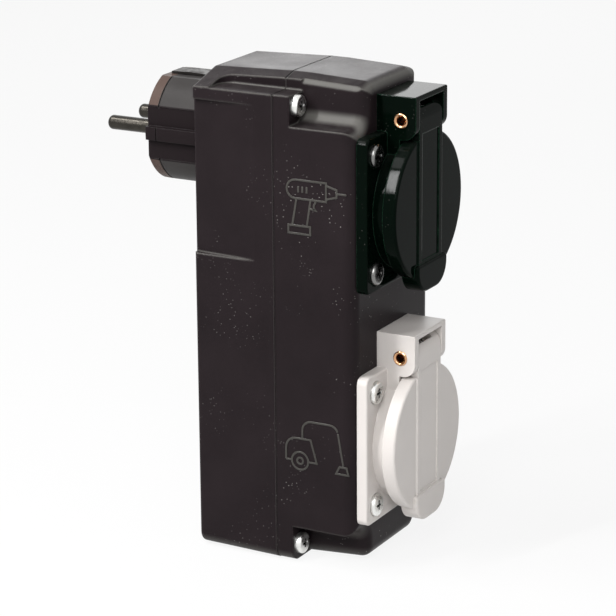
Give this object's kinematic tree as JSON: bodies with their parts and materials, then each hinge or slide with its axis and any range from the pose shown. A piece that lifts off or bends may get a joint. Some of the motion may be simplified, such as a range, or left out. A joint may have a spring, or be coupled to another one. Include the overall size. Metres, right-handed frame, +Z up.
{
  "type": "automatic switch unit",
  "caption": "Automatic switch unit: moulded housing with an earthed wall plug behind and spring-lidded panel sockets in front, for a power tool and the vacuum cleaner it starts.",
  "frame": {"origin": "middle of the wall plug's face, between its two pins", "axes": "+Y into the wall outlet along the pins, +Z up, sockets face -Y, +X completes a right-handed frame"},
  "size_m": [0.0546, 0.1141, 0.1602],
  "materials": {
    "housing_black": "fine texture",
    "plug_grey": "satin",
    "socket_black": "gloss",
    "socket_grey": "gloss",
    "screw_zinc": "bright zinc",
    "pin_nickel": "polished nickel",
    "earth_steel": "plated spring strip",
    "brass": "bright",
    "spring_steel": "drawn wire",
    "seal_rubber": "soft matte",
    "contact_holder": "glass-filled",
    "board_green": "solder mask",
    "relay_blue": "smooth",
    "capacitor_yellow": "smooth",
    "chip_black": "moulded",
    "terminal_green": "moulded",
    "fuse_glass": "clear",
    "resistor_tan": "coated",
    "wire_brown": "insulation",
    "wire_blue": "insulation",
    "wire_earth": "insulation"
  },
  "bodies": {
    "housing": {"front_shell": "housing_black", "rear_shell": "housing_black", "plug_body": "plug_grey", "tool_socket_body": "socket_black", "vacuum_socket_body": "socket_grey", "shell_screws": "screw_zinc", "plug_screws": "screw_zinc", "board_screws": "screw_zinc", "tool_flange_screws": "screw_zinc", "vacuum_flange_screws": "screw_zinc", "plug_pins": "pin_nickel", "plug_earth_contacts": "earth_steel", "tool_earth_clip": "earth_steel", "vacuum_earth_clip": "earth_steel", "tool_lid_pin": "brass", "tool_contact_sleeves": "brass", "vacuum_lid_pin": "brass", "vacuum_contact_sleeves": "brass", "fuse_clips": "brass", "tool_socket_gasket": "seal_rubber", "vacuum_socket_gasket": "seal_rubber", "tool_contact_block": "contact_holder", "vacuum_contact_block": "contact_holder", "circuit_board": "board_green", "power_relay": "relay_blue", "varistor": "relay_blue", "film_capacitor": "capacitor_yellow", "control_chip": "chip_black", "electrolytic_capacitor": "chip_black", "current_transformer": "chip_black", "terminal_block": "terminal_green", "fuse": "fuse_glass", "resistors": "resistor_tan", "supply_live_wire": "wire_brown", "tool_live_wire": "wire_brown", "vacuum_live_wire": "wire_brown", "supply_neutral_wire": "wire_blue", "tool_neutral_wire": "wire_blue", "vacuum_neutral_wire": "wire_blue", "supply_earth_wire": "wire_earth", "earth_link_wire": "wire_earth"},
    "tool_lid": {"tool_lid": "socket_black", "tool_lid_seal": "seal_rubber", "tool_lid_spring": "spring_steel"},
    "vacuum_lid": {"vacuum_lid": "socket_grey", "vacuum_lid_seal": "seal_rubber", "vacuum_lid_spring": "spring_steel"}
  },
  "joints": [
    {"name": "tool_lid_hinge", "type": "hinge", "parent": "housing", "child": "tool_lid", "pos_m": [0, -0.0891, 0.0116], "axis": [-1, 0, 0], "range_deg": [0, 100], "stiffness_Nm_per_rad": 0.01, "springref_deg": -28.65},
    {"name": "vacuum_lid_hinge", "type": "hinge", "parent": "housing", "child": "vacuum_lid", "pos_m": [0, -0.0891, -0.0658], "axis": [-1, 0, 0], "range_deg": [0, 100], "stiffness_Nm_per_rad": 0.01, "springref_deg": -28.65}
  ]
}
